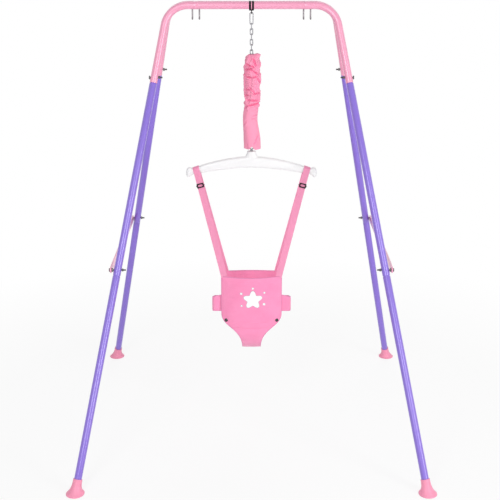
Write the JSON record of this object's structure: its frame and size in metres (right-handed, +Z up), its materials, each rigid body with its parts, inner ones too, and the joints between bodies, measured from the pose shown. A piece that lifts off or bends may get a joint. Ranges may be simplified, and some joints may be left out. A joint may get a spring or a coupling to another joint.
{
  "type": "baby jumper with stand",
  "caption": "Folding tube stand with a sleeved spring on a chain, a swivelling spreader bar and a padded cloth seat hung on straps.",
  "frame": {"origin": "on the floor under the middle of the two bars", "axes": "+Z up, -Y the front, X along the bars"},
  "size_m": [1.04, 1.02, 1.3135],
  "materials": {
    "pink_paint": "glossy pink powder coat",
    "purple_paint": "glossy violet metallic coat",
    "pink_plastic": "soft pink moulding",
    "white_plastic": "smooth white moulding",
    "black_plastic": "plain black moulding",
    "zinc_steel": "zinc plated",
    "dark_steel": "dark plated",
    "sleeve_cloth": "thin gathered cloth",
    "seat_cloth": "padded cotton cloth",
    "pink_webbing": "flat woven webbing"
  },
  "bodies": {
    "front_frame": {"front_top_tube": "pink_paint", "front_left_upper_leg": "purple_paint", "front_left_lower_leg": "purple_paint", "front_left_foot": "pink_plastic", "front_left_corner_bolt": "dark_steel", "front_left_stay_bolt": "dark_steel", "front_right_upper_leg": "purple_paint", "front_right_lower_leg": "purple_paint", "front_right_foot": "pink_plastic", "front_right_corner_bolt": "dark_steel", "front_right_stay_bolt": "dark_steel", "hanger": "black_plastic", "left_saddle_clamp": "pink_paint", "left_swing_hooks": "dark_steel", "right_saddle_clamp": "pink_paint", "right_swing_hooks": "dark_steel"},
    "rear_frame": {"rear_top_tube": "pink_paint", "rear_left_upper_leg": "purple_paint", "rear_left_lower_leg": "purple_paint", "rear_left_foot": "pink_plastic", "rear_left_corner_bolt": "dark_steel", "rear_left_stay_bolt": "dark_steel", "rear_right_upper_leg": "purple_paint", "rear_right_lower_leg": "purple_paint", "rear_right_foot": "pink_plastic", "rear_right_corner_bolt": "dark_steel", "rear_right_stay_bolt": "dark_steel"},
    "front_left_stay_link": {"front_left_stay": "pink_paint", "front_left_rivet": "dark_steel"},
    "front_right_stay_link": {"front_right_stay": "pink_paint", "front_right_rivet": "dark_steel"},
    "rear_left_stay_link": {"rear_left_stay": "pink_paint", "rear_left_rivet": "dark_steel"},
    "rear_right_stay_link": {"rear_right_stay": "pink_paint", "rear_right_rivet": "dark_steel"},
    "quick_link": {"quick_link": "zinc_steel"},
    "quick_link_gate": {"quick_link_gate": "zinc_steel"},
    "chain_link_1": {"chain_link_1": "zinc_steel"},
    "chain_link_2": {"chain_link_2": "zinc_steel"},
    "chain_link_3": {"chain_link_3": "zinc_steel"},
    "chain_link_4": {"chain_link_4": "zinc_steel"},
    "chain_link_5": {"chain_link_5": "zinc_steel"},
    "chain_link_6": {"chain_link_6": "zinc_steel"},
    "spring": {"spring": "zinc_steel", "spring_sleeve": "sleeve_cloth"},
    "eyebolt": {"eyebolt": "zinc_steel", "eyebolt_nut": "zinc_steel"},
    "seat": {"spreader_bar": "white_plastic", "seat_front": "seat_cloth", "seat_back": "seat_cloth", "seat_crotch": "seat_cloth", "left_strap": "pink_webbing", "left_waist_wing": "seat_cloth", "left_snap": "dark_steel", "right_strap": "pink_webbing", "right_waist_wing": "seat_cloth", "right_snap": "dark_steel"},
    "left_adjuster": {"left_adjuster": "black_plastic"},
    "right_adjuster": {"right_adjuster": "black_plastic"}
  },
  "joints": [
    {"name": "stand_fold", "type": "hinge", "parent": "front_frame", "child": "rear_frame", "pos_m": [0, 0.013, 1.3], "axis": [-1, 0, 0], "range_deg": [0, 34]},
    {"name": "front_left_stay_turn", "type": "hinge", "parent": "front_frame", "child": "front_left_stay_link", "pos_m": [-0.39232, -0.27024, 0.59], "axis": [1, 0, 0], "range_deg": [0, 66.45]},
    {"name": "front_right_stay_turn", "type": "hinge", "parent": "front_frame", "child": "front_right_stay_link", "pos_m": [0.39232, -0.27024, 0.59], "axis": [1, 0, 0], "range_deg": [0, 66.45]},
    {"name": "rear_left_stay_turn", "type": "hinge", "parent": "rear_frame", "child": "rear_left_stay_link", "pos_m": [-0.39232, 0.27024, 0.59], "axis": [-1, 0, 0], "range_deg": [0, 57.9]},
    {"name": "rear_right_stay_turn", "type": "hinge", "parent": "rear_frame", "child": "rear_right_stay_link", "pos_m": [0.39232, 0.27024, 0.59], "axis": [-1, 0, 0], "range_deg": [0, 57.9]},
    {"name": "quick_link_swing", "type": "hinge", "parent": "front_frame", "child": "quick_link", "pos_m": [0, 0, 1.27905], "axis": [1, 0, 0], "range_deg": [-7, 7]},
    {"name": "quick_link_gate_turn", "type": "hinge", "parent": "quick_link", "child": "quick_link_gate", "pos_m": [0.0045, 0, 1.2548], "axis": [0, -1, 0], "range_deg": [0, 20], "stiffness_Nm_per_rad": 0.02, "springref_deg": -28.65},
    {"name": "chain_link_1_swing", "type": "hinge", "parent": "quick_link", "child": "chain_link_1", "pos_m": [0, 0, 1.24555], "axis": [1, 0, 0], "range_deg": [-7, 7]},
    {"name": "chain_link_2_swing", "type": "hinge", "parent": "chain_link_1", "child": "chain_link_2", "pos_m": [0, 0, 1.23065], "axis": [0, 1, 0], "range_deg": [-4, 4]},
    {"name": "chain_link_3_swing", "type": "hinge", "parent": "chain_link_2", "child": "chain_link_3", "pos_m": [0, 0, 1.21565], "axis": [1, 0, 0], "range_deg": [-7, 7]},
    {"name": "chain_link_4_swing", "type": "hinge", "parent": "chain_link_3", "child": "chain_link_4", "pos_m": [0, 0, 1.20065], "axis": [0, 1, 0], "range_deg": [-4, 4]},
    {"name": "chain_link_5_swing", "type": "hinge", "parent": "chain_link_4", "child": "chain_link_5", "pos_m": [0, 0, 1.18565], "axis": [1, 0, 0], "range_deg": [-7, 7]},
    {"name": "chain_link_6_swing", "type": "hinge", "parent": "chain_link_5", "child": "chain_link_6", "pos_m": [0, 0, 1.17065], "axis": [0, 1, 0], "range_deg": [-4, 4]},
    {"name": "spring_swing", "type": "hinge", "parent": "chain_link_6", "child": "spring", "pos_m": [0, 0, 1.15565], "axis": [1, 0, 0], "range_deg": [-7, 7]},
    {"name": "spring_stretch", "type": "slide", "parent": "spring", "child": "eyebolt", "axis": [0, 0, -1], "range_m": [0, 0.15], "stiffness_N_per_m": 650, "springref_m": -0.03, "deforming": ["spring", "spring_sleeve"]},
    {"name": "spreader_swivel", "type": "hinge", "parent": "eyebolt", "child": "seat", "pos_m": [0, 0, 0.874], "axis": [0, 0, 1], "continuous": true},
    {"name": "left_adjuster_slide", "type": "slide", "parent": "seat", "child": "left_adjuster", "axis": [0.2544, -0.2262, -0.9403], "range_m": [-0.012, 0.1]},
    {"name": "right_adjuster_slide", "type": "slide", "parent": "seat", "child": "right_adjuster", "axis": [-0.2544, -0.2262, -0.9403], "range_m": [-0.012, 0.1]}
  ],
  "couplings": [
    {"joint": "front_left_stay_turn", "follows": "stand_fold", "ratio": 1.9529},
    {"joint": "front_right_stay_turn", "follows": "stand_fold", "ratio": 1.9529},
    {"joint": "rear_left_stay_turn", "follows": "stand_fold", "ratio": 1.7015},
    {"joint": "rear_right_stay_turn", "follows": "stand_fold", "ratio": 1.7015}
  ]
}
